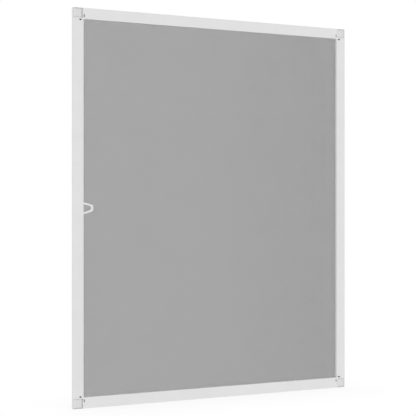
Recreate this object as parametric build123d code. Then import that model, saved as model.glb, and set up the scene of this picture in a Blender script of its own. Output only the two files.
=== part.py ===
"""Window insect screen: four hollow extrusions plugged onto corner blocks, with a woven mesh splined into the back.

Millimetres. X runs to the right seen from the front, the front looks towards -Y, and Z is up.
The origin is at the middle of the bottom edge, halfway through the depth.

Each side of the frame has its own directions: u from the outer edge inwards, v from the front face backwards,
and w along the side. The sides follow one another clockwise, so one section and one corner serve all four.
"""
import os
from math import hypot, sqrt

from build123d import *

# Whole frame
frame_width = 1000.0
frame_height = 1200.0
frame_depth = 12.0
face_width = 33.5  # rail and stile, seen from the front

# Extrusion
wall = 1.2
edge_radius = 0.5
lip_thickness = 1.3  # the inner edge, which the mesh is pulled over
mesh_recess = 7.0  # front face to the front of the mesh
groove_width = 4.0
groove_depth = 2.4  # below the top of the lip

# Slot through the front wall near both ends of each extrusion, level with the opening's edge
slot_width = 8.0
slot_length = 3.8
slot_setback = 10.0  # middle of the slot to the inner edge

# Corner block
block_inset = 3.5  # the block's side is this much less than the face, and the extrusions run on to meet it
pillow_border = 6.5  # width of the rounded border
pillow_drop = 2.1  # the border's fall below the front face
corner_radius = 1.0
block_wall = 3.0
leg_length = 45.0
leg_wall = 1.8
leg_clearance = 0.15
leg_lead_in = 1.2

# Mesh
mesh_wall = 0.3
ridge_height = 0.15
ridge_width = 0.6
ridge_pitch = 5.6  # four threads of the real weave
fold_clearance = 0.2  # from the opening's corners to the ends of the folded edges

# Spline cord
spline_clearance = 0.05

# Pull tab
tab_reach = 32.0
tab_base_height = 36.0
tab_tip_height = 18.0
tab_strap = 5.5
tab_tip_strap = 7.0
tab_thickness = 1.8
tab_tip_radius = 4.0
tab_hole_radius = 2.0
tab_barb_height = 1.5
tab_barb_length = 2.4
tab_clearance = 0.1

# Places that follow from the sizes above
front = -frame_depth / 2
groove_floor = mesh_recess - groove_depth
lip_start = face_width - lip_thickness
groove_start = lip_start - groove_width
chamber_end = groove_start - wall
chamber_back = frame_depth - wall
pocket_back = groove_floor - wall
slot_start = face_width - slot_setback - slot_width / 2
slot_end = slot_start + slot_width
opening_width = frame_width - 2 * face_width
opening_height = frame_height - 2 * face_width
block_size = face_width - block_inset
pillow_arc = (pillow_border**2 + pillow_drop**2) / (2 * pillow_drop)  # radius of the border
cushion_margin = corner_radius  # the rounded faces are made this much too large, then cut to the block's outline
mesh_front = front + mesh_recess
spline_radius = groove_width / 2 - mesh_wall - spline_clearance
tab_front = (wall + pocket_back - tab_thickness) / 2  # centred in the pocket behind the front wall
tab_middle = frame_height / 2
tab_slope = (tab_base_height - tab_tip_height) / 2 / tab_reach
tab_hole_base = tab_base_height / 2 - tab_strap * hypot(1, tab_slope)

RIGHT, LEFT, UP, DOWN, BACK, FORWARD = (1, 0, 0), (-1, 0, 0), (0, 0, 1), (0, 0, -1), (0, 1, 0), (0, -1, 0)

# side: its starting corner, its inward direction u, its running direction w and its outer length
sides = {
    "left": ((-frame_width / 2, front, 0), RIGHT, UP, frame_height),
    "top": ((-frame_width / 2, front, frame_height), DOWN, RIGHT, frame_width),
    "right": ((frame_width / 2, front, frame_height), LEFT, DOWN, frame_height),
    "bottom": ((frame_width / 2, front, 0), UP, LEFT, frame_width),
}
profile_names = {"left": "left_stile", "top": "top_rail", "right": "right_stile", "bottom": "bottom_rail"}
starting_corners = {"left": "bottom_left", "top": "top_left", "right": "top_right", "bottom": "bottom_right"}


def side_plane(side):
    """The plane across one side: its x is u, its y is v, and its normal is w."""
    start, inward, along, _ = sides[side]
    return Plane(origin=start, x_dir=inward, z_dir=along)


def outline(points):
    """A flat face with straight edges through the points."""
    return make_face(Polyline(*points, close=True))


def corners_of(face, points):
    """The face's vertices that lie at the points."""
    wanted = {(round(x, 4), round(y, 4)) for x, y in points}
    return [v for v in face.vertices() if (round(v.X, 4), round(v.Y, 4)) in wanted]


def block_between(low, high):
    """A box from its lowest corner to its highest."""
    size = [b - a for a, b in zip(low, high)]
    return Pos(*low) * Box(*size, align=(Align.MIN, Align.MIN, Align.MIN))


def run(section, start, end):
    """A section in u and v, carried along w from start to end."""
    return Pos(0, 0, start) * extrude(section, amount=end - start, dir=UP)


def profile_section():
    """The extrusion's section: a box chamber, a rear groove for the spline and a thin inner lip."""
    soft_edges = [(0, 0), (face_width, 0), (groove_start, frame_depth), (0, frame_depth)]
    skin = outline([
        (0, 0),
        (face_width, 0),
        (face_width, mesh_recess),
        (lip_start, mesh_recess),
        (lip_start, groove_floor),
        (groove_start, groove_floor),
        (groove_start, frame_depth),
        (0, frame_depth),
    ])
    hollow = outline([
        (wall, wall),
        (lip_start, wall),
        (lip_start, pocket_back),
        (chamber_end, pocket_back),
        (chamber_end, chamber_back),
        (wall, chamber_back),
    ])
    return fillet(corners_of(skin, soft_edges), min(edge_radius, wall / 2)) - hollow


def profile(length):
    """One side's extrusion between two corner blocks, slotted near both ends."""
    body = run(profile_section(), block_size, length - block_size)
    start, end = face_width, length - face_width
    body -= block_between((slot_start, 0, start), (slot_end, wall, start + slot_length))
    body -= block_between((slot_start, 0, end - slot_length), (slot_end, wall, end))
    return body


def stile_relief(length):
    """What a stile loses at both ends, where the rails' inner edges run on past the corner blocks."""
    low = block_between((block_size, 0, block_size), (face_width, frame_depth, face_width))
    high = block_between((block_size, 0, length - face_width), (face_width, frame_depth, length - block_size))
    return low + high


def tab_slots():
    """Two slots in the left lip that the pull tab's arms pass through."""
    near, far = tab_front - tab_clearance, tab_front + tab_thickness + tab_clearance
    low, high = tab_hole_base - tab_clearance, tab_base_height / 2 + tab_clearance
    upper = block_between((lip_start, near, tab_middle + low), (face_width, far, tab_middle + high))
    lower = block_between((lip_start, near, tab_middle - high), (face_width, far, tab_middle - low))
    return upper + lower


def leg():
    """A corner block's leg along w, with a chamfered tip, as it fits the chamber."""
    near = wall + leg_clearance
    inner, back = chamber_end - leg_clearance, chamber_back - leg_clearance
    stick = block_between((near, near, block_size), (inner, back, block_size + leg_length))
    tip = stick.faces().sort_by(Axis.Z)[-1]
    return chamfer(tip.edges(), min(leg_lead_in, leg_wall / 2))


def leg_core():
    """A leg's hollow, which runs on into the block and opens to the front behind the slot."""
    near = wall + leg_clearance + leg_wall
    inner, back = chamber_end - leg_clearance - leg_wall, chamber_back - leg_clearance - leg_wall
    core = block_between((near, near, block_wall), (inner, back, block_size + leg_length))
    window = block_between((slot_start, wall, face_width), (chamber_end, frame_depth / 2, face_width + slot_length))
    return core + window


def twin(shape):
    """The shape with u and w exchanged, for the side that meets this one at the corner."""
    return mirror(shape, about=Plane(origin=(0, 0, 0), z_dir=(1, 0, -1)))


def pillow_section():
    """A cushion's section in u and v: flat in the middle, with an arc at both edges that runs on beyond them."""
    flat_start, flat_end = pillow_border, block_size - pillow_border
    start, end, bottom = -cushion_margin, block_size + cushion_margin, frame_depth + cushion_margin
    fall = pillow_arc - sqrt(pillow_arc**2 - (pillow_border + cushion_margin) ** 2)
    return make_face([
        Line((flat_start, 0), (flat_end, 0)),
        TangentArc((flat_end, 0), (end, fall), tangent=(1, 0)),
        Polyline((end, fall), (end, bottom), (start, bottom), (start, fall)),
        TangentArc((flat_start, 0), (start, fall), tangent=(-1, 0)),
    ])


def pillow():
    """The corner block itself: a square whose front rounds down to all four edges."""
    middle = block_size / 2
    square = Pos(middle, middle) * Rectangle(block_size, block_size)
    square = fillet(corners_of(square, [(0, 0)]), corner_radius)
    upright = Plane(origin=(0, frame_depth, 0), x_dir=RIGHT, z_dir=FORWARD) * square
    prism = extrude(upright, amount=frame_depth + cushion_margin)
    cushion = run(pillow_section(), -cushion_margin, block_size + cushion_margin)
    return prism & cushion & twin(cushion)


def corner():
    """The corner at the start of a side: the block, a leg along w and its twin along u."""
    solid = pillow() + leg() + twin(leg())
    return solid - leg_core() - twin(leg_core())


def comb(length, height):
    """A strip from 0 down to -height in y, with ridges on top at the ridge pitch."""
    count = int(length // ridge_pitch)
    first = -(count - 1) / 2 * ridge_pitch
    points = [(-length / 2, -height), (-length / 2, 0)]
    for i in range(count):
        left = first + i * ridge_pitch - ridge_width / 2
        right = left + ridge_width
        points += [(left, 0), (left, ridge_height), (right, ridge_height), (right, 0)]
    points += [(length / 2, 0), (length / 2, -height)]
    return outline(points)


def fold_section():
    """The mesh's edge in u and v: over the lip, down into the groove, across its floor and up the far side."""
    return outline([
        (face_width, mesh_recess),
        (lip_start, mesh_recess),
        (lip_start, groove_floor),
        (groove_start, groove_floor),
        (groove_start, mesh_recess),
        (groove_start + mesh_wall, mesh_recess),
        (groove_start + mesh_wall, groove_floor + mesh_wall),
        (lip_start - mesh_wall, groove_floor + mesh_wall),
        (lip_start - mesh_wall, mesh_recess + mesh_wall),
        (face_width, mesh_recess + mesh_wall),
    ])


def mesh():
    """The stretched sheet, with upright ridges in front, level ridges behind and its edges in the grooves."""
    half = mesh_wall / 2
    warp_plane = Plane(origin=(0, mesh_front, face_width), x_dir=LEFT, z_dir=UP)
    weft_plane = Plane(origin=(-opening_width / 2, mesh_front + mesh_wall, frame_height / 2), x_dir=DOWN, z_dir=RIGHT)
    sheet = extrude(warp_plane * comb(opening_width, half), amount=opening_height, dir=UP)
    sheet += extrude(weft_plane * comb(opening_height, half), amount=opening_width, dir=RIGHT)
    for side, (_, _, _, length) in sides.items():
        start = face_width + fold_clearance
        sheet += side_plane(side) * run(fold_section(), start, length - start)
    return sheet


def spline(length):
    """One round cord in the groove, on top of the folded mesh."""
    start = face_width + fold_clearance
    middle = Pos(groove_start + groove_width / 2, groove_floor + groove_width / 2)
    return run(middle * Circle(spline_radius), start, length - start)


def pull_tab():
    """A trapezoid loop whose two arms pass through the lip and catch behind it with barbs."""
    base, tip = tab_base_height / 2, tab_tip_height / 2
    hole_end = tab_reach - tab_tip_strap
    hole_tip = tab_hole_base - tab_slope * hole_end
    catch = -lip_thickness - tab_clearance
    loop = outline([(0, -base), (tab_reach, -tip), (tab_reach, tip), (0, base)])
    loop = fillet(corners_of(loop, [(tab_reach, -tip), (tab_reach, tip)]), tab_tip_radius)
    hole = outline([(0, -tab_hole_base), (hole_end, -hole_tip), (hole_end, hole_tip), (0, tab_hole_base)])
    loop -= fillet(corners_of(hole, [(hole_end, -hole_tip), (hole_end, hole_tip)]), tab_hole_radius)
    for up in (1, -1):
        loop += outline([
            (0, up * tab_hole_base),
            (catch - tab_barb_length, up * tab_hole_base),
            (catch - tab_barb_length, up * base),
            (catch, up * (base + tab_barb_height)),
            (catch, up * base),
            (0, up * base),
        ])
    place = (-frame_width / 2 + face_width, front + tab_front + tab_thickness, tab_middle)
    return extrude(Plane(origin=place, x_dir=RIGHT, z_dir=FORWARD) * loop, amount=tab_thickness)


nodes = {"insect_mesh": mesh(), "pull_tab": pull_tab()}
for side, (_, _, _, length) in sides.items():
    place = side_plane(side)
    bar = profile(length)
    if side in ("left", "right"):
        bar -= stile_relief(length)
    if side == "left":
        bar -= tab_slots()
    nodes[profile_names[side]] = place * bar
    nodes["corner_" + starting_corners[side]] = place * corner()
    nodes["spline_" + side] = place * spline(length)

os.makedirs("parts", exist_ok=True)
for name, shape in nodes.items():
    export_step(shape, f"parts/{name}.step")
    print(name, round(shape.volume, 1), len(shape.solids()), len(shape.faces()))
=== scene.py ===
# %% [markdown]
# # A window insect screen
# Four white aluminium bars, plugged onto four plastic corner blocks, hold a grey woven mesh. The bars, the
# corner blocks and the pull tab come from the CAD model, so this lesson only gives them their finish. The
# mesh and the rubber cords that hold it are soft goods, and they are made here, thread by thread.
#
# The first step loads the CAD model and keeps its box, which the finished screen has to fit into.
# Everything is in metres: X to the right seen from the front, Y to the back and Z up.

import bpy
import numpy as np
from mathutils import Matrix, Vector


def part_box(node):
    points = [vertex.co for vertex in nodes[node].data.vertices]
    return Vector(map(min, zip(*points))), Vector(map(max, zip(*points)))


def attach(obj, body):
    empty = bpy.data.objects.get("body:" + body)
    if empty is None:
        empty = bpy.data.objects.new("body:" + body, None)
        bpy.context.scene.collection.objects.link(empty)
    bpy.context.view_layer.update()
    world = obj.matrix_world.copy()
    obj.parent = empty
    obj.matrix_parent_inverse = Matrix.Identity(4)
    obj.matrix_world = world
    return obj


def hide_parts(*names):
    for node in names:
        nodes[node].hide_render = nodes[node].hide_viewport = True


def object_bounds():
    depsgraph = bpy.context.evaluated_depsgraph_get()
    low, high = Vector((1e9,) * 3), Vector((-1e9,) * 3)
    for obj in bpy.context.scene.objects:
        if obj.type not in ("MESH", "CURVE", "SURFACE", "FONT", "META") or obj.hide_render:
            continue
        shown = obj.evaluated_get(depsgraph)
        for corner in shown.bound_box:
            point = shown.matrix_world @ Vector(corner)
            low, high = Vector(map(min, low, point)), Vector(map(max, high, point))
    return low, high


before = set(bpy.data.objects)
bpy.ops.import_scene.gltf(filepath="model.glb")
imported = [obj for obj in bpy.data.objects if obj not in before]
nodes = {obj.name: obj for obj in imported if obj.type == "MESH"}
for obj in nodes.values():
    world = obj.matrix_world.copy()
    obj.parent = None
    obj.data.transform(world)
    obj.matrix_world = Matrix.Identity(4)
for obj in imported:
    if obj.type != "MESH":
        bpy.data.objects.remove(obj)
cad_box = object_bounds()
MM = 0.001
print("CAD box in mm:", [[round(c / MM, 1) for c in corner] for corner in cad_box])

# %% [markdown]
# ## The camera
# The picture was taken with a long lens, level, at half the screen's height, from about 31 degrees to the
# left of straight on. The place and the lens come from fitting the screen's edges to those in the picture,
# so the camera needs no shift. A lens in pixels becomes a lens in millimetres through the sensor's width.

# %% Camera
PICTURE_SIDE = 416
LENS_PIXELS = 1351.1
CAMERA_PLACE = (-2.2107, -3.6741, 0.6005)
CAMERA_TURN = 30.687
SENSOR_WIDTH = 36.0

camera_data = bpy.data.cameras.new("picture_camera")
camera_data.sensor_width = SENSOR_WIDTH
camera_data.lens = LENS_PIXELS / PICTURE_SIDE * SENSOR_WIDTH
camera = bpy.data.objects.new("picture_camera", camera_data)
camera.location = CAMERA_PLACE
camera.rotation_euler = np.radians((90.0, 0.0, -CAMERA_TURN))
scene = bpy.context.scene
scene.collection.objects.link(camera)
scene.camera = camera
scene.view_settings.view_transform = "Standard"
print("lens in mm:", round(camera_data.lens, 2))

# %% [markdown]
# ## A helper for shader nodes
# Every finish below is a small tree of shader nodes. One helper adds a node, sets its options, and either
# sets each of its inputs to a value or links it to the output that feeds it, so a tree reads like a sum.

# %% Node helper
def add_node(tree, kind, inputs=None, **options):
    """Adds one node; inputs maps a socket's name or number to a value or to the output that feeds it."""
    made = tree.nodes.new(kind)
    for name, value in options.items():
        setattr(made, name, value)
    for key, value in (inputs or {}).items():
        if isinstance(value, bpy.types.NodeSocket):
            tree.links.new(value, made.inputs[key])
        else:
            made.inputs[key].default_value = value
    return made


def sum_of(tree, operation, *terms):
    """The output of one Math node over the terms."""
    return add_node(tree, "ShaderNodeMath", dict(enumerate(terms)), operation=operation).outputs[0]


def grey(value):
    """A neutral colour of this linear value."""
    return (value, value, value, 1.0)


# %% [markdown]
# ## White surroundings
# The screen stands in plain white. The world lights it evenly at a modest level, but shows as pure white to
# camera, mirror and glass rays. A Light Path node tells those rays apart from the ones that carry light, so
# a white background costs the object no extra light.

# %% World
AMBIENT = 0.615


def seen_directly(tree):
    """1 for a ray that shows the surroundings themselves: from the camera, a mirror or through glass."""
    path = add_node(tree, "ShaderNodeLightPath").outputs
    mirrored = sum_of(tree, "MAXIMUM", path["Is Glossy Ray"], path["Is Transmission Ray"])
    return sum_of(tree, "MAXIMUM", path["Is Camera Ray"], mirrored)


world = bpy.data.worlds.new("white_studio")
scene.world = world
world.use_nodes = True
tree = world.node_tree
tree.nodes.clear()
lighting = add_node(tree, "ShaderNodeBackground", {"Color": grey(1.0), "Strength": AMBIENT})
white = add_node(tree, "ShaderNodeBackground", {"Color": grey(1.0), "Strength": 1.0})
either = add_node(
    tree, "ShaderNodeMixShader", {0: seen_directly(tree), 1: lighting.outputs[0], 2: white.outputs[0]}
)
add_node(tree, "ShaderNodeOutputWorld", {"Surface": either.outputs[0]})
print("world lights at", AMBIENT)

# %% [markdown]
# ## The floor
# A pale floor carries the screen and catches a faint shadow. It shows an even white that can't be told from
# the white world, darker only where the screen shuts light out: an Ambient Occlusion node tells how much
# each spot of the floor sees past the screen. Plain matt paint would shade too, but seen through the mesh
# it leaves a grain that the denoiser takes for texture. In the picture the screen's foot is as bright as
# its top. So the floor throws no shadow itself and is left out of the light that bounces: light comes from
# below it as from above.

# %% Floor
FLOOR_HALF = 12.0
SHADOW_REACH = 0.35
SHADOW_DEPTH, SHADOW_SAMPLES = 0.12, 8

corners = FLOOR_HALF * np.array([[-1, -1, 0], [1, -1, 0], [1, 1, 0], [-1, 1, 0]])
floor_mesh = bpy.data.meshes.new("floor")
floor_mesh.from_pydata(corners.tolist(), [], [(0, 1, 2, 3)])
floor = bpy.data.objects.new("floor", floor_mesh)
floor.visible_shadow = False
floor.visible_diffuse = False
scene.collection.objects.link(floor)

floor_paint = bpy.data.materials.new("floor_paint")
floor_paint.use_nodes = True
tree = floor_paint.node_tree
tree.nodes.clear()
occlusion = add_node(
    tree, "ShaderNodeAmbientOcclusion", {"Distance": SHADOW_REACH}, samples=SHADOW_SAMPLES
)
white = sum_of(tree, "MULTIPLY_ADD", occlusion.outputs["AO"], SHADOW_DEPTH, 1 - SHADOW_DEPTH)
strength = sum_of(tree, "MULTIPLY", white, seen_directly(tree))
glow = add_node(tree, "ShaderNodeEmission", {"Color": grey(1.0), "Strength": strength})
add_node(tree, "ShaderNodeOutputMaterial", {"Surface": glow.outputs[0]})
floor_mesh.materials.append(floor_paint)
print("floor shadow reaches, in m:", SHADOW_REACH)

# %% [markdown]
# ## Two soft lights
# In the picture the front and the left side of the frame are equally bright, and the rounded borders of the
# corner blocks darken to the right, up and down. So the main light stands level, to the left of the
# camera. A sun with a wide angle gives that: even across the whole screen, with very soft shadows. A second
# one, opposite, lights the back in the same way, so that the white bars look white from there too.

# %% Lights
LIGHT_TURN, LIGHT_SPREAD = 40.0, 50.0
KEY_STRENGTH, BACK_STRENGTH = 1.57, 1.2


def level_sun(name, turn, strength):
    """A sun at the horizon, this many degrees to the left of straight in front."""
    data = bpy.data.lights.new(name, "SUN")
    data.energy = strength
    data.angle = np.radians(LIGHT_SPREAD)
    sun = bpy.data.objects.new(name, data)
    sun.rotation_euler = np.radians((90.0, 0.0, -turn))
    scene.collection.objects.link(sun)


level_sun("key_light", LIGHT_TURN, KEY_STRENGTH)
level_sun("back_light", LIGHT_TURN + 180.0, BACK_STRENGTH)
print("key light from", LIGHT_TURN, "degrees to the left")

# %% [markdown]
# ## Places on the screen
# The screen is symmetric about the middle of its opening. So the later steps need only a few distances
# from there: half the opening, and half the length of the bars. They could be typed in from the drawing,
# but the boxes of the CAD parts give them without a slip.

# %% Places
opening_left, opening_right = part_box("left_stile")[1].x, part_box("right_stile")[0].x
opening_low, opening_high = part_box("bottom_rail")[1].z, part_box("top_rail")[0].z
opening_middle = (opening_low + opening_high) / 2
half_wide, half_high = (opening_right - opening_left) / 2, (opening_high - opening_low) / 2
half_stile, half_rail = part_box("left_stile")[1].z - opening_middle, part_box("top_rail")[1].x
front = cad_box[0].y
print("opening in mm:", round(2 * half_wide / MM, 1), "by", round(2 * half_high / MM, 1))

# %% [markdown]
# ## Noise at its real size
# Coat, plastic, yarn and rubber are all greys whose tone and roughness vary a little, and noise gives that.
# It reads Object coordinates, which are the part's own metres, so a pattern has its real size and stays in
# place from every side. Noise values crowd round the middle, so they are spread over the range that a
# finish needs.

# %% Noise helpers
NOISE_LOW, NOISE_HIGH = 0.3, 0.7


def new_material(name):
    """An empty material: its tree, its Object coordinates and its output node."""
    material = bpy.data.materials.new(name)
    material.use_nodes = True
    tree = material.node_tree
    tree.nodes.clear()
    place = add_node(tree, "ShaderNodeTexCoord").outputs["Object"]
    return material, tree, place, add_node(tree, "ShaderNodeOutputMaterial")


def noise(tree, place, size, detail=2.0, stretch=(1.0, 1.0, 1.0)):
    """Noise from 0 to 1 whose patches are about `size` metres, longer along an axis of smaller stretch."""
    spread = add_node(tree, "ShaderNodeMapping", {"Vector": place, "Scale": stretch})
    settings = {"Vector": spread.outputs[0], "Scale": 1 / size, "Detail": detail}
    return add_node(tree, "ShaderNodeTexNoise", settings).outputs[0]


def between(tree, share, low, high):
    """Runs evenly from low to high while the share crosses the part of its range where most noise lies."""
    source = {"Value": share, "From Min": NOISE_LOW, "From Max": NOISE_HIGH}
    return add_node(tree, "ShaderNodeMapRange", source | {"To Min": low, "To Max": high}).outputs[0]


# %% [markdown]
# ## Colour, relief and shader
# The finishes share their last steps too: a mask mixes two colours, a height becomes relief, and all of it
# is joined in one Principled shader. A CAD part keeps its own mesh and only changes its material.

# %% Finish helpers
def mixed_colour(tree, share, one, two):
    """The colour that goes from one to two as the share goes from 0 to 1."""
    # A Mix node holds sockets for every data type: 6, 7 and output 2 are those for colours.
    made = add_node(tree, "ShaderNodeMix", {0: share, 6: one, 7: two}, data_type="RGBA")
    return made.outputs[2]


def even_grey(tree, tone):
    """The neutral colour of one tone."""
    return add_node(tree, "ShaderNodeCombineColor", {0: tone, 1: tone, 2: tone}).outputs[0]


def relief(tree, height, distance, strength=1.0):
    """Normal of a surface that rises by the distance as the height goes from 0 to 1, times the strength."""
    settings = {"Height": height, "Strength": strength, "Distance": distance}
    return add_node(tree, "ShaderNodeBump", settings).outputs[0]


def join_shader(tree, output, inputs):
    """Joins these inputs into one Principled shader, and that to the material's output."""
    surface = add_node(tree, "ShaderNodeBsdfPrincipled", inputs)
    tree.links.new(surface.outputs[0], output.inputs["Surface"])


def dress(node_names, material):
    """Gives CAD nodes one material in place of the plain ones they came with."""
    for name in node_names:
        nodes[name].data.materials.clear()
        nodes[name].data.materials.append(material)


# %% [markdown]
# ## Where the metal is bare
# Each bar is an aluminium extrusion with a baked white coat. Its ends were sawn after coating, and the
# hollow inside never got a coat, so the metal shows there. Painting that by hand would need a flat layout
# of every bar. As the screen is symmetric, masks on the distance from its middle find both places. Each
# span of the hollow is given as its middle and its half.

# %% Bare metal
CUT_DEPTH = 0.02 * MM
HOLLOW_ACROSS, HOLLOW_DEEP = (14.1 * MM, 13.0 * MM), (6.0 * MM, 4.9 * MM)


def from_middle(tree, place):
    """How far a point is from the screen's middle, across and upward, and how far behind its front face."""
    axes = add_node(tree, "ShaderNodeSeparateXYZ", {0: place}).outputs
    across = sum_of(tree, "ABSOLUTE", axes["X"])
    upward = sum_of(tree, "ABSOLUTE", sum_of(tree, "SUBTRACT", axes["Z"], opening_middle))
    return across, upward, sum_of(tree, "SUBTRACT", axes["Y"], front)


def in_hollow(tree, inward, depth):
    """1 on a hollow's walls: way in from the bar's outer edge and depth each within half of a middle."""
    across = sum_of(tree, "COMPARE", inward, *HOLLOW_ACROSS)
    return sum_of(tree, "MULTIPLY", across, sum_of(tree, "COMPARE", depth, *HOLLOW_DEEP))


# %% [markdown]
# ## Powder coat on the bars
# Up close a powder coat is never quite smooth: it has a soft orange peel of a millimetre or two, over the
# faint straight lines that the die left along the metal. Noise gives the peel, and noise stretched along
# the bar gives the lines. In the upright bars the bare hollow is painted dark grey, as shade in the slots.

# %% Powder coat
COAT_WHITE, COAT_ROUGH = (0.735, 0.755), (0.36, 0.46)
TONE_PATCH, ROUGH_PATCH = 60 * MM, 9 * MM
PEEL_SIZE, PEEL_HEIGHT = 1.8 * MM, 0.02 * MM
LINE_WIDTH, LINE_SHARE, LINE_STRETCH = 0.7 * MM, 0.25, 0.004
# Grey of bare metal, and the painted shade in the hollow of the upright bars.
BARE_GREY, HOLLOW_SHADE_GREY = 0.75, 0.12


def powder_coat(name, upright):
    """White coat on the upright or the level bars, bare at their sawn ends and in their hollow."""
    material, tree, place, output = new_material(name)
    across, upward, depth = from_middle(tree, place)
    if upright:
        along, beside, half_length, half_screen = upward, across, half_stile, cad_box[1].x
    else:
        along, beside, half_length, half_screen = across, upward, half_rail, opening_middle
    sawn = sum_of(tree, "GREATER_THAN", along, half_length - CUT_DEPTH)
    hollow = in_hollow(tree, sum_of(tree, "SUBTRACT", half_screen, beside), depth)
    white = even_grey(tree, between(tree, noise(tree, place, TONE_PATCH), *COAT_WHITE))
    colour = mixed_colour(tree, sawn, white, grey(BARE_GREY))
    stretch = (1.0, 1.0, LINE_STRETCH) if upright else (LINE_STRETCH, 1.0, 1.0)
    lines = noise(tree, place, LINE_WIDTH, detail=1.0, stretch=stretch)
    height = sum_of(tree, "MULTIPLY_ADD", lines, LINE_SHARE, noise(tree, place, PEEL_SIZE))
    # Painted shade: the upright bars' hollow is painted dark grey for the shade in their slots; the level
    # bars' is bare metal.
    inputs = {
        "Base Color": mixed_colour(tree, hollow, colour, grey(HOLLOW_SHADE_GREY if upright else BARE_GREY)),
        "Metallic": sum_of(tree, "MAXIMUM", sawn, hollow),
        "Roughness": between(tree, noise(tree, place, ROUGH_PATCH), *COAT_ROUGH),
        "Normal": relief(tree, height, PEEL_HEIGHT),
    }
    join_shader(tree, output, inputs)
    return material


dress(["left_stile", "right_stile"], powder_coat("coat_upright", True))
dress(["top_rail", "bottom_rail"], powder_coat("coat_level", False))
print("coat, from and to in linear white:", COAT_WHITE)

# %% [markdown]
# ## Dust and painted shade on the corner blocks
# A film of dust makes the blocks' fronts a little greyer than the bars. Their rounded borders get painted
# shade on top of it, darkest on the outer level edges and on the right-hand ones, less on the other two,
# as the light falls on their slopes. Inside the upright bars their legs are painted dark, as shade in the
# slots. The four blocks mirror each other, so the distance to a block's own border follows from those to
# the screen's middle.

# %% Dust and painted shade
BORDER, BORDER_DROP = 6.5 * MM, 2.1 * MM
# How much painted shade each side of a block's rounded border gets, for how the light falls there.
RIGHT_EDGE, LEFT_EDGE, INNER_EDGE = 0.92, 0.87, 0.78
FILM = 0.19
half_block = (cad_box[1].x - half_rail) / 2
print("side of a block in mm:", round(2 * half_block / MM, 1))


# Painted shade: the rise across the border darkens the slopes as their shade would.
def front_dust_and_shade(tree, place):
    """Film on a block's front plus painted shade rising across its border to 1 at the outer level edge; 0
    on sides.
    """
    across, upward, depth = from_middle(tree, place)
    hand = sum_of(tree, "SIGN", add_node(tree, "ShaderNodeSeparateXYZ", {0: place}).outputs["X"])
    right = sum_of(tree, "MULTIPLY", sum_of(tree, "SUBTRACT", across, half_rail + half_block), hand)
    outward = sum_of(tree, "SUBTRACT", upward, half_stile + half_block)
    farthest = outward
    for way, weight in ((outward, -INNER_EDGE), (right, RIGHT_EDGE), (right, -LEFT_EDGE)):
        farthest = sum_of(tree, "MAXIMUM", farthest, sum_of(tree, "MULTIPLY", way, weight))
    reach = {"Value": farthest, "From Min": half_block - BORDER, "From Max": half_block, "To Min": FILM}
    ramp = add_node(tree, "ShaderNodeMapRange", reach, interpolation_type="SMOOTHSTEP").outputs[0]
    return sum_of(tree, "MULTIPLY", ramp, sum_of(tree, "LESS_THAN", depth, BORDER_DROP))


# Painted shade: the legs are painted dark for the shade in the slots of the upright bars.
def painted_leg_shade(tree, place):
    """1 on the legs inside the upright bars, painted dark as shade, and 0 on the rest of a corner block."""
    return sum_of(tree, "LESS_THAN", from_middle(tree, place)[1], half_stile - CUT_DEPTH)


# %% [markdown]
# ## Moulded plastic on the corner blocks and the pull tab
# Under the dust and painted shade, the corner blocks are matt moulded plastic with a fine spark-eroded
# grain. The pull tab is a smoother, whiter plastic that hands keep clean. Both come from one function,
# because only their whites, roughness, grain, dust and painted shade differ.

# %% Moulded plastic
# Grey of the dust film and of the painted shade on the borders; grey of the painted shade on the legs.
DUST_AND_SHADE_GREY, LEG_SHADE_GREY = 0.41, 0.02
PLASTIC_PATCH, SHEEN_PATCH, GRAIN_SIZE = 15 * MM, 4 * MM, 0.5 * MM
PLASTIC_TONES, PLASTIC_SHEEN = 0.008, 0.05


def moulded_plastic(name, white, rough, grain, dust_and_shade):
    """Plastic of this linear white: roughness varied a little, grain as relief, dust and painted shade on
    front, painted shade on legs.
    """
    material, tree, place, output = new_material(name)
    patches = noise(tree, place, PLASTIC_PATCH)
    colour = even_grey(tree, between(tree, patches, white - PLASTIC_TONES, white + PLASTIC_TONES))
    if dust_and_shade:
        # Painted shade: the darker ramp on the borders and the dark legs stand in for shade.
        share = sum_of(tree, "MULTIPLY", front_dust_and_shade(tree, place), dust_and_shade)
        colour = mixed_colour(tree, share, colour, grey(DUST_AND_SHADE_GREY))
        colour = mixed_colour(tree, painted_leg_shade(tree, place), colour, grey(LEG_SHADE_GREY))
    sheen = noise(tree, place, SHEEN_PATCH)
    inputs = {
        "Base Color": colour,
        "Roughness": between(tree, sheen, rough - PLASTIC_SHEEN, rough + PLASTIC_SHEEN),
        "Normal": relief(tree, noise(tree, place, GRAIN_SIZE, detail=3.0), grain),
    }
    join_shader(tree, output, inputs)
    return material


blocks = [name for name in nodes if name.startswith("corner_")]
block_plastic = moulded_plastic("corner_plastic", white=0.74, rough=0.5, grain=0.02 * MM, dust_and_shade=0.8)
tab_plastic = moulded_plastic("tab_plastic", white=0.77, rough=0.3, grain=0.006 * MM, dust_and_shade=0.0)
dress(blocks, block_plastic)
dress(["pull_tab"], tab_plastic)
print("corner blocks:", len(blocks))

# %% [markdown]
# ## Yarn for the mesh
# Fly mesh is woven from coated glass yarn, and the coating is melted together where threads cross. The yarn
# is a dull grey, with a slightly uneven coat. It rises and falls at each crossing: a product of two waves
# at the thread pitch gives that relief, because a real over-and-under weave would take millions of faces.

# %% Yarn
YARN_GREY, YARN_ROUGH = (0.034, 0.044), (0.5, 0.7)
YARN_TONE_PATCH, YARN_ROUGH_PATCH = 5 * MM, 2 * MM
CROSSING_HEIGHT, CROSSING_STRENGTH = 0.06 * MM, 0.6
PITCH = 1.4 * MM


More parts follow.
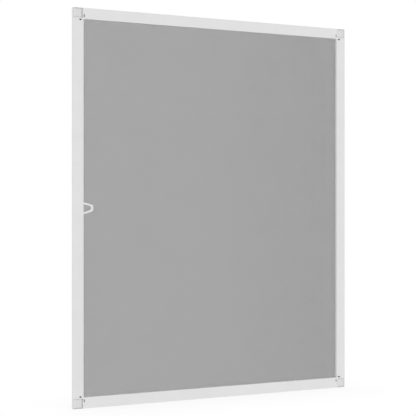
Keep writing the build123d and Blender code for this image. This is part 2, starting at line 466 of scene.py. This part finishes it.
def crossing_wave(tree, place):
    """Plus one where the upright thread lies on top, minus one where the level one does."""
    axes = add_node(tree, "ShaderNodeSeparateXYZ", {0: place}).outputs
    turns = np.pi / PITCH
    across = sum_of(tree, "COSINE", sum_of(tree, "MULTIPLY", axes["X"], turns))
    upward = sum_of(tree, "COSINE", sum_of(tree, "MULTIPLY", axes["Z"], turns))
    return sum_of(tree, "MULTIPLY", across, upward)


def coated_yarn(name):
    """Dull grey coat whose tone and roughness vary along the threads, with relief at the crossings."""
    material, tree, place, output = new_material(name)
    tone = between(tree, noise(tree, place, YARN_TONE_PATCH, detail=3.0), *YARN_GREY)
    inputs = {
        "Base Color": even_grey(tree, tone),
        "Roughness": between(tree, noise(tree, place, YARN_ROUGH_PATCH), *YARN_ROUGH),
        "Normal": relief(tree, crossing_wave(tree, place), CROSSING_HEIGHT, CROSSING_STRENGTH),
    }
    join_shader(tree, output, inputs)
    return material


yarn = coated_yarn("coated_yarn")
print("thread pitch in mm:", PITCH / MM)

# %% [markdown]
# ## The line of one thread
# A thread runs straight across the opening, bends over the thin lip at each side, goes down into the
# groove, along its floor and up the far wall, where the mesh was trimmed. As that line lies in one plane,
# it is a short list of points: distance along the thread, and depth behind the front face. At a bend, the
# ring of points round the thread has to be mitred, like a picture frame, so that it keeps its width.

# %% Thread line
RECESS = 7.0 * MM
LIP = 1.3 * MM
GROOVE_WIDTH, GROOVE_DEPTH = 4.0 * MM, 2.4 * MM
YARN_WIDTH = 0.56 * MM
SIDES = 6
WEFT_BEHIND = 0.16 * MM
YARN_RADIUS = YARN_WIDTH * np.pi / (2 * SIDES * np.sin(np.pi / SIDES))


def folded_line(half_span, depth):
    """One thread's middle line as (along, depth), from its trimmed end on one side to that on the other."""
    wall = LIP + YARN_RADIUS
    far_wall = LIP + GROOVE_WIDTH - YARN_RADIUS
    floor_depth = RECESS - GROOVE_DEPTH + YARN_RADIUS
    outward = half_span + np.array([0.0, wall, wall, far_wall, far_wall])
    depths = np.array([depth, depth, floor_depth, floor_depth, RECESS])
    one_end = np.stack([outward, depths], axis=1)
    return np.concatenate([one_end[::-1] * (-1, 1), one_end])


def mitred(line):
    """For each point, the vector in the line's plane that moves both of its runs sideways by one unit."""
    runs = np.diff(line, axis=0)
    runs /= np.linalg.norm(runs, axis=1, keepdims=True)
    normals = np.stack([-runs[:, 1], runs[:, 0]], axis=1)
    before, after = np.vstack([normals[:1], normals]), np.vstack([normals, normals[-1:]])
    return (before + after) / (1 + (before * after).sum(axis=1, keepdims=True))


warp_depth = RECESS + YARN_RADIUS
weft_depth = warp_depth + WEFT_BEHIND
weft_line, warp_line = folded_line(half_wide, weft_depth), folded_line(half_high, warp_depth)

# %% [markdown]
# ## All the threads at once
# Every thread of one direction has the same line, so all of them are one array: thread, point on the line,
# point round the thread, and its place. Small seeded offsets keep the weave from being perfectly even, as a
# loom does, and leave the trimmed ends ragged.

# %% Threads
RAGGED, UNEVEN = 0.8 * MM, 0.03 * MM
SHORTEST, LONGEST = -1.0, 0.3
rng = np.random.default_rng(12)


def tubes(line, places, turn, ragged):
    """Tubes round one line, repeated sideways: middle + radius (cos a of the mitre, sin a sideways)."""
    angle = 2 * np.pi * (np.arange(SIDES) + 0.5) / SIDES
    ring = line[:, None, :] + YARN_RADIUS * np.cos(angle)[:, None] * mitred(line)[:, None, :]
    made = np.empty((len(places), len(line), SIDES, 3))
    made[..., :2] = ring
    made[..., 2] = places[:, None, None] + turn * YARN_RADIUS * np.sin(angle)
    ends = made[:, :: len(line) - 1, :, 1]
    ends += ragged * rng.uniform(SHORTEST, LONGEST, (len(places), 2, 1))
    return made


def even_places(half_span):
    """Places at the nearest whole number of pitches across the span, each off by a few hundredths."""
    count = int(round(2 * half_span / PITCH))
    middle = (np.arange(count) + 0.5) / count * 2 - 1
    return middle * half_span + rng.normal(0, UNEVEN, count)


wefts = tubes(weft_line, even_places(half_high), 1, RAGGED)
warps = tubes(warp_line, even_places(half_wide), -1, RAGGED)
print("threads:", len(wefts), "level,", len(warps), "upright")

# %% [markdown]
# ## Threads in the folded edges
# Where the mesh folds over the lip, some threads lie lengthways in the fold. They run straight along the
# bar, so they are rods of two points each, placed along the fold at the same pitch as in the opening. The
# corners, where two folds would meet, were cut away.

# %% Rods in the folds
def rods_in_fold(line, half_length, turn):
    """Straight rods along both folded edges: a place every pitch along the fold, from a running length."""
    fold = line[len(line) // 2:]
    reach = np.concatenate([[0], np.linalg.norm(np.diff(fold, axis=0), axis=1).cumsum()])
    steps = np.arange(0.5 * PITCH, reach[-1], PITCH)
    outward, depth = np.interp(steps, reach, fold[:, 0]), np.interp(steps, reach, fold[:, 1])
    straight = np.array([[-half_length, 0.0], [half_length, 0.0]])
    both = np.concatenate([outward, -outward])
    made = tubes(straight, both, turn, 0.0)
    made[..., 1] += np.concatenate([depth, depth])[:, None, None]
    return made


upright_rods = rods_in_fold(weft_line, half_high, -1)
level_rods = rods_in_fold(warp_line, half_wide, 1)
print("rods in the folds:", len(level_rods), "level,", len(upright_rods), "upright")

# %% [markdown]
# ## From arrays to a piece
# A tube's faces are always the same: each quad joins two neighbours of one ring to the same two of the
# next, and two fans of quads close the ends. So the face list is worked out once and shifted for every
# thread. Points and faces then go into Blender in one call each.

# %% Tube pieces
def tube_quads(count, rings, sides):
    """Quads of `count` closed tubes, each of `rings` rings with an even number of sides."""
    start = sides * np.arange(rings - 1)[:, None]
    point = np.arange(sides)
    after = (point + 1) % sides
    wall = np.stack([start + point, start + after, start + sides + after, start + sides + point], axis=-1)
    fan = 2 * np.arange(sides // 2 - 1)[:, None] + (1, 2, 3)
    far_cap = np.hstack([np.zeros((len(fan), 1), int), fan])
    one = np.concatenate([wall.reshape(-1, 4), far_cap[:, ::-1], far_cap + sides * (rings - 1)])
    return (one + rings * sides * np.arange(count)[:, None, None]).reshape(-1, 4)


def smooth_piece(name, points, quads, material):
    """A smooth-shaded mesh object at the origin, from whole arrays of points and quads."""
    mesh = bpy.data.meshes.new(name)
    mesh.vertices.add(len(points))
    mesh.vertices.foreach_set("co", points.astype(np.float32).ravel())
    mesh.loops.add(quads.size)
    mesh.loops.foreach_set("vertex_index", quads.astype(np.int32).ravel())
    mesh.polygons.add(len(quads))
    mesh.polygons.foreach_set("loop_start", np.arange(0, quads.size, 4, dtype=np.int32))
    mesh.update(calc_edges=True)
    mesh.shade_smooth()
    mesh.materials.append(material)
    piece = bpy.data.objects.new(name, mesh)
    scene.collection.objects.link(piece)
    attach(piece, "root")
    return piece


# %% [markdown]
# ## The woven mesh
# The level threads run along X and the upright ones along Z, so their columns are put in order before they
# join into one piece. The threads take the place of the plain CAD sheet.

# %% Woven mesh
points, quads, filled = [], [], 0
level, upright = (0, 1, 2), (2, 1, 0)
for family, columns in ((wefts, level), (level_rods, level), (warps, upright), (upright_rods, upright)):
    count, rings, sides, _ = family.shape
    points.append(family[..., columns].reshape(-1, 3) + (0.0, front, opening_middle))
    quads.append(tube_quads(count, rings, sides) + filled)
    filled += count * rings * sides
woven_mesh = smooth_piece("woven_mesh", np.concatenate(points), np.concatenate(quads), yarn)
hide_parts("insect_mesh")
print("mesh triangles:", 2 * len(woven_mesh.data.polygons))

# %% [markdown]
# ## The rubber cords
# On the back, a ribbed rubber cord is rolled into each groove and pinches the mesh there. The rubber is
# dark and matt. Dust makes it paler in patches, which coarse noise gives, and fine noise gives its grain.

# %% Rubber
RUBBER_GREY, RUBBER_ROUGH = (0.022, 0.034), (0.6, 0.8)
DUST_PATCH, RUBBER_ROUGH_PATCH = 12 * MM, 3 * MM
RUBBER_GRAIN, RUBBER_GRAIN_HEIGHT = 0.3 * MM, 0.02 * MM


def cord_rubber(name):
    """Dark matt rubber, with pale dust in patches and a fine even grain."""
    material, tree, place, output = new_material(name)
    tone = between(tree, noise(tree, place, DUST_PATCH, detail=4.0), *RUBBER_GREY)
    inputs = {
        "Base Color": even_grey(tree, tone),
        "Roughness": between(tree, noise(tree, place, RUBBER_ROUGH_PATCH), *RUBBER_ROUGH),
        "Normal": relief(tree, noise(tree, place, RUBBER_GRAIN), RUBBER_GRAIN_HEIGHT),
    }
    join_shader(tree, output, inputs)
    return material


rubber = cord_rubber("cord_rubber")
print("rubber grey:", RUBBER_GREY)

# %% [markdown]
# ## The shape of the cords
# The cord's surface is a function of the angle and the length: a circle with small ribs, and shallow dents
# where the roller pressed. Its middle line is that of the CAD cord, and it is a little thinner, because the
# real yarn takes more room in the groove than the CAD sheet.

# %% Cords
CORD_RADIUS = GROOVE_WIDTH / 2 - 2 * YARN_RADIUS
RIBS, RIB_HEIGHT = 8, 0.07 * MM
DENT_EVERY, DENT_DEPTH = 9 * MM, 0.06 * MM
RING_EVERY, POINTS_ROUND = 3 * MM, 32


def ribbed_cord(length):
    """Radius = cord radius, less a rib wave of the angle and a dent wave of the length."""
    along = np.linspace(-length / 2, length / 2, int(length / RING_EVERY) + 1)[:, None]
    angle = 2 * np.pi * np.arange(POINTS_ROUND) / POINTS_ROUND
    ribs = RIB_HEIGHT * (1 - np.cos(RIBS * angle)) / 2
    dents = DENT_DEPTH * (1 - np.cos(2 * np.pi * along / DENT_EVERY)) / 2
    radius = CORD_RADIUS - ribs - dents
    made = np.empty(radius.shape + (3,))
    made[..., 0] = along
    made[..., 1] = radius * np.cos(angle)
    made[..., 2] = radius * np.sin(angle)
    return made


standing, lying = (1, 2, 0), (0, 1, 2)
for side, columns in (("left", standing), ("right", standing), ("top", lying), ("bottom", lying)):
    low, high = (np.array(corner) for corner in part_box("spline_" + side))
    rings = ribbed_cord((high - low).max())
    points = rings[..., columns].reshape(-1, 3) + (low + high) / 2
    cord = smooth_piece("cord_" + side, points, tube_quads(1, *rings.shape[:2]), rubber)
    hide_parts("spline_" + side)
    print(cord.name, "triangles:", 2 * len(cord.data.polygons))
